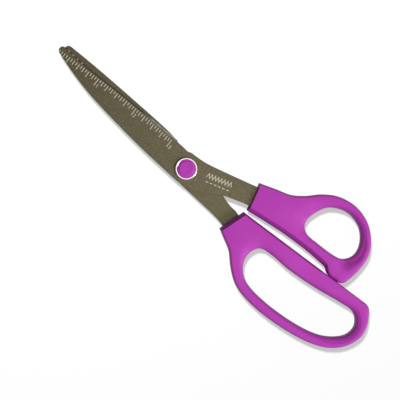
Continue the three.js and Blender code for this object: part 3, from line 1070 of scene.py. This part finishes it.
def numeral(text, x):
    """A digit beside its inch mark, with its head towards the cutting edge."""
    curve = bpy.data.curves.new("digit", "FONT")
    curve.body = text
    curve.size = DIGIT_SIZE
    curve.extrude = (INK_SUNK + INK_PROUD) / 2
    curve.resolution_u = 4
    letter = bpy.data.objects.new("digit", curve)
    bpy.context.scene.collection.objects.link(letter)
    graph = bpy.context.evaluated_depsgraph_get()
    mesh = bpy.data.meshes.new_from_object(letter.evaluated_get(graph))
    bpy.data.objects.remove(letter)
    bm = bmesh.new()
    bm.from_mesh(mesh)
    bmesh.ops.remove_doubles(bm, verts=bm.verts, dist=1e-5)
    turn = Matrix.Rotation(math.pi + RULER_TILT, 4, "Z")
    height = BLADE_TOP + (INK_PROUD - INK_SUNK) / 2
    corner_place = Vector((x - DIGIT_ASIDE, ruler_height(x) + DIGIT_UP, height))
    vertices = [turn @ v.co + corner_place for v in bm.verts]
    faces = [tuple(v.index for v in f.verts) for f in bm.faces]
    bm.free()
    return vertices, faces


def stitching():
    """A generic sewing ornament on the tang: a pinked zigzag over a row of stitches."""
    middle = Vector((-17.6, -6.4))
    along = Vector((-0.93, -0.367))
    up = Vector((0.367, -0.93))

    def place(u, v):
        return middle + along * u + up * v

    peaks = 8
    pitch = 1.8
    zigzag = [place((i - peaks) * pitch / 2, 0.5 + 2.4 * (i % 2)) for i in range(2 * peaks + 1)]
    solids = [stroke(zigzag, 0.42)]
    stitches = 6
    spacing = 2 * peaks * pitch / 2 / stitches
    for i in range(stitches):
        start = (i - stitches / 2 + 0.2) * spacing
        solids.append(stroke([place(start, -1.7), place(start + 0.6 * spacing, -1.7)], 0.5))
    return solids


ruler = new_object("ruler_print", *merge(ruler_ticks()), "front", "coating")
digits = new_object(
    "ruler_digits",
    *merge([numeral(str(i), RULER_ZERO - i * INCH) for i in range(1, RULER_INCHES + 1)]),
    "front",
    "coating",
)
ornament = new_object("stitch_print", *merge(stitching()), "front", "coating")
for obj in (ruler, digits, ornament):
    dress(obj, PRINT)

# ---- Pivot

CUP_BASE = BLADE_TOP
BARREL = 3.0 # radius
THREAD = 2.4 # radius
THREAD_TURNS = 5
THREAD_GROOVE = 0.3
BARREL_CHAMFER = 0.15
CUP_CHAMFER = 0.25
CUP_LIP = 0.42 # height of the rim's rounding
CAP_PLAY = 0.03
CAP_FLANGE = 0.7 # thickness
BUTTON_FOOT = 4.2 # radius
BUTTON_FACE = 3.7
BUTTON_HOLLOW = 0.12 # depth of its dished face
SPRING_SHEET = 0.35 # thickness
SPRING_PLAY = 0.2
NUT_CHAMFER = 0.45
NUT_FACE_INSET = 0.1 # of the chamfer's circle from the flats
NUT_PLAY = 0.06


def rounded(points, radius, steps=5):
    """A closed profile with every corner rounded."""
    result = []
    count = len(points)
    for i, p in enumerate(points):
        p = Vector(p)
        before, after = Vector(points[i - 1]) - p, Vector(points[(i + 1) % count]) - p
        reach = min(radius, before.length / 3, after.length / 3)
        result += corner(p + before.normalized() * reach, p, p + after.normalized() * reach, steps)
    return result


def screw_profile():
    """The outside of the screw from its back end to the cup's rim, then down to the cup's floor."""
    low, high = 0.35, BACK_FACE - BARREL_CHAMFER
    root = THREAD - THREAD_GROOVE
    step = (high - low) / THREAD_TURNS
    profile = [(0.0, 0.0), (THREAD - low, 0.0)]
    for i in range(THREAD_TURNS):
        profile += [(root, low + i * step), (THREAD, low + (i + 0.35) * step)]
        profile += [(THREAD, low + (i + 0.65) * step)]
    profile += [(root, high), (root, BACK_FACE), (BARREL - BARREL_CHAMFER, BACK_FACE)]
    profile += [(BARREL, BACK_FACE + BARREL_CHAMFER), (BARREL, CUP_BASE)]
    profile += [(CUP_RADIUS - CUP_CHAMFER, CUP_BASE), (CUP_RADIUS, CUP_BASE + CUP_CHAMFER)]
    middle = (CUP_RADIUS + CAP_RADIUS) / 2
    half = (CUP_RADIUS - CAP_RADIUS) / 2
    for p in arc((0, 0), 1, 0, 180, 12):
        profile.append((middle + half * p.x, CUP_TOP - CUP_LIP + CUP_LIP * p.y))
    profile += [(CAP_RADIUS + CAP_PLAY, CUP_FLOOR), (0.0, CUP_FLOOR)]
    return profile


def revolve(name, profile, body, slot, material, cad_node, steps=96):
    """A solid turned from a profile that closes on itself or starts and ends on the axis."""
    vertices, faces = turned([(p[0], p[1]) for p in profile], steps)
    obj = new_object(name, vertices, faces, body, slot)
    bm = bmesh.new()
    bm.from_mesh(obj.data)
    bmesh.ops.remove_doubles(bm, verts=bm.verts, dist=1e-6)
    bmesh.ops.dissolve_degenerate(bm, edges=bm.edges, dist=1e-7)
    on_axis = [e for e in bm.edges if not e.link_faces]
    bmesh.ops.delete(bm, geom=on_axis, context="EDGES")
    bmesh.ops.recalc_face_normals(bm, faces=bm.faces)
    bm.to_mesh(obj.data)
    bm.free()
    dress(obj, material)
    smooth_by_angle(obj, 30)
    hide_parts(cad_node)
    return obj


def cap_profile():
    """The insert: a flange just under the cup's rim, and on it a steep-sided button, dished on top."""
    top = cap_high.z
    flange = CUP_FLOOR + CAP_FLANGE
    foot, face = BUTTON_FOOT, BUTTON_FACE
    outline = corner((CAP_RADIUS, flange - 0.1), (CAP_RADIUS, flange), (CAP_RADIUS - 0.1, flange), 4)
    outline += corner((foot + 0.1, flange), (foot, flange), (foot - 0.06, flange + 0.1), 4)
    outline += corner((face + 0.12, top - 0.18), (face, top), (face - 0.25, top - 0.01), 5)
    low = top - BUTTON_HOLLOW
    dish = [(face * part, low + 0.11 * part**2) for part in (0.8, 0.5, 0.25, 0.0)]
    return [(0.0, CUP_FLOOR), (CAP_RADIUS, CUP_FLOOR)] + outline + dish


def washer_profile(bore, radius, low, high):
    return rounded([(bore, low), (radius, low), (radius, high), (bore, high)], 0.1)


def spring_profile():
    """A conical washer, highest at its bore."""
    bore, rim = THREAD + SPRING_PLAY, spring_high.x
    low, high = spring_low.z, spring_high.z
    section = [(bore, high - SPRING_SHEET), (rim, low), (rim, low + SPRING_SHEET), (bore, high)]
    return rounded(section, 0.12)


def hexagon(radius, angle):
    """The distance from the centre to a hexagon's side, for corners at radius."""
    sector = math.radians(60)
    return radius * math.cos(sector / 2) / math.cos((angle % sector) - sector / 2)


def nut():
    """A hexagonal nut with chamfered corners and a plain bore."""
    corner_radius = nut_high.y
    flat = corner_radius * math.cos(math.radians(30))
    low, high = nut_low.z, nut_high.z
    bore = THREAD + NUT_PLAY
    mouth = 0.3 # chamfer of the bore
    rows = [
        (bore + mouth, low), (None, low), (None, low + NUT_CHAMFER), (None, high - NUT_CHAMFER),
        (None, high), (bore + mouth, high), (bore, high - mouth), (bore, low + mouth),
    ]
    limits = {
        low: flat - NUT_FACE_INSET,
        low + NUT_CHAMFER: corner_radius,
        high - NUT_CHAMFER: corner_radius,
        high: flat - NUT_FACE_INSET,
    }
    vertices = []
    steps = 120
    for i in range(steps):
        angle = 2 * math.pi * i / steps
        side = hexagon(corner_radius, angle + math.radians(30))
        for radius, z in rows:
            r = radius if radius is not None else min(side, limits[z])
            vertices.append((r * math.cos(angle), r * math.sin(angle), z))
    faces = around(steps, steps, len(rows))
    obj = new_object("hex_nut", vertices, faces, "back", "bright")
    dress(obj, BRIGHT)
    smooth_by_angle(obj, 20)
    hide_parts("pivot_nut")


screw = revolve("cup_screw", screw_profile(), "back", "bright", PLATED, "pivot_screw")
revolve("cap_insert", cap_profile(), "back", "plastic", PURPLE, "pivot_cap")
revolve(
    "nylon_washer",
    washer_profile(BORE, washer_high.x, washer_low.z, washer_high.z),
    "back",
    "nylon",
    NYLON,
    "thrust_washer",
)
revolve("cone_washer", spring_profile(), "back", "bright", BRIGHT, "spring_washer")
nut()

# ---- Floor, light and camera

FLOOR_REACH = 8.0 # metres from the middle to a side
FLOOR_WHITE = 0.2
FLOOR_GLOW = 0.53
FLOOR_DARK = 0.2 # as all but the camera see it
IMAGE_UP = Vector((0.695, -0.719, 0))
IMAGE_RIGHT = Vector((-0.719, -0.695, 0))
LOOK_AT = Vector((-16.8, 6.9, 8)) * MM
DISTANCE = 0.62
FRAME_WIDTH = 0.2143
SENSOR = 36 # millimetres
WORLD_LIGHT = 0.15

floor_mesh = bpy.data.meshes.new("floor")
floor_sides = [(-1, -1), (1, -1), (1, 1), (-1, 1)]
floor_corners = [(x * FLOOR_REACH, y * FLOOR_REACH, 0) for x, y in floor_sides]
floor_mesh.from_pydata(floor_corners, [], [(0, 1, 2, 3)])
floor = bpy.data.objects.new("floor", floor_mesh)
floor.location = (0, 0, -0.1 * MM)
bpy.context.scene.collection.objects.link(floor)


def white_floor():
    """White with a soft shadow to the camera, and dark to all other rays, to throw little light up."""
    material, tree, shader = principled("white_floor", 0.9)
    shader.inputs["Base Color"].default_value = (FLOOR_WHITE, FLOOR_WHITE, FLOOR_WHITE, 1)
    shader.inputs["Emission Color"].default_value = (1, 1, 1, 1)
    shader.inputs["Emission Strength"].default_value = FLOOR_GLOW
    shader.inputs["Specular IOR Level"].default_value = 0.0
    dark = add(tree, "ShaderNodeBsdfDiffuse", Color=(FLOOR_DARK, FLOOR_DARK, FLOOR_DARK, 1))
    paths = add(tree, "ShaderNodeLightPath")
    choice = add(tree, "ShaderNodeMixShader")
    tree.links.new(paths.outputs["Is Camera Ray"], choice.inputs["Fac"])
    tree.links.new(dark.outputs["BSDF"], choice.inputs[1])
    tree.links.new(shader.outputs["BSDF"], choice.inputs[2])
    tree.links.new(choice.outputs["Shader"], tree.nodes["Material Output"].inputs["Surface"])
    return material


floor_mesh.materials.append(white_floor())

camera_data = bpy.data.cameras.new("camera")
camera_data.sensor_width = SENSOR
camera_data.lens = SENSOR * DISTANCE / FRAME_WIDTH
camera = bpy.data.objects.new("camera", camera_data)
turn = Matrix((IMAGE_RIGHT, IMAGE_UP, Vector((0, 0, 1)))).transposed()
camera.matrix_world = Matrix.Translation(LOOK_AT + Vector((0, 0, DISTANCE))) @ turn.to_4x4()
bpy.context.scene.collection.objects.link(camera)
bpy.context.scene.camera = camera


def softbox(name, place, size, power, only=None, shines=True):
    """An area light at place, in image directions (right, up, height), aimed at the object.

    It lights one object only, or all but the floor.
    """
    light = bpy.data.lights.new(name, "AREA")
    light.shape = "SQUARE"
    light.size = size
    light.energy = power
    obj = bpy.data.objects.new(name, light)
    right, up, height = place
    obj.location = LOOK_AT + IMAGE_RIGHT * right + IMAGE_UP * up + Vector((0, 0, height))
    obj.rotation_euler = (LOOK_AT - obj.location).to_track_quat("-Z", "Y").to_euler()
    obj.visible_glossy = shines
    bpy.context.scene.collection.objects.link(obj)
    receivers = bpy.data.collections.new(name + "_receivers")
    receivers.objects.link(only or floor)
    receivers.collection_objects[0].light_linking.link_state = "INCLUDE" if only else "EXCLUDE"
    obj.light_linking.receiver_collection = receivers


softbox("overhead", (1.1, -0.6, 2.6), 1.4, 64, shines=False)
softbox("key", (2.4, -1.4, 2.0), 1.0, 42)
softbox("floor_light", (-0.15, 0.4, 1.2), 0.14, 40, only=floor)
softbox("card", (0.1, 0.0, 0.9), 1.3, 6.5, only=screw)

world = bpy.data.worlds.new("studio")
world.use_nodes = True
world.node_tree.nodes["Background"].inputs["Color"].default_value = (1, 1, 1, 1)
world.node_tree.nodes["Background"].inputs["Strength"].default_value = WORLD_LIGHT
bpy.context.scene.world = world
bpy.context.scene.view_settings.view_transform = "Standard"
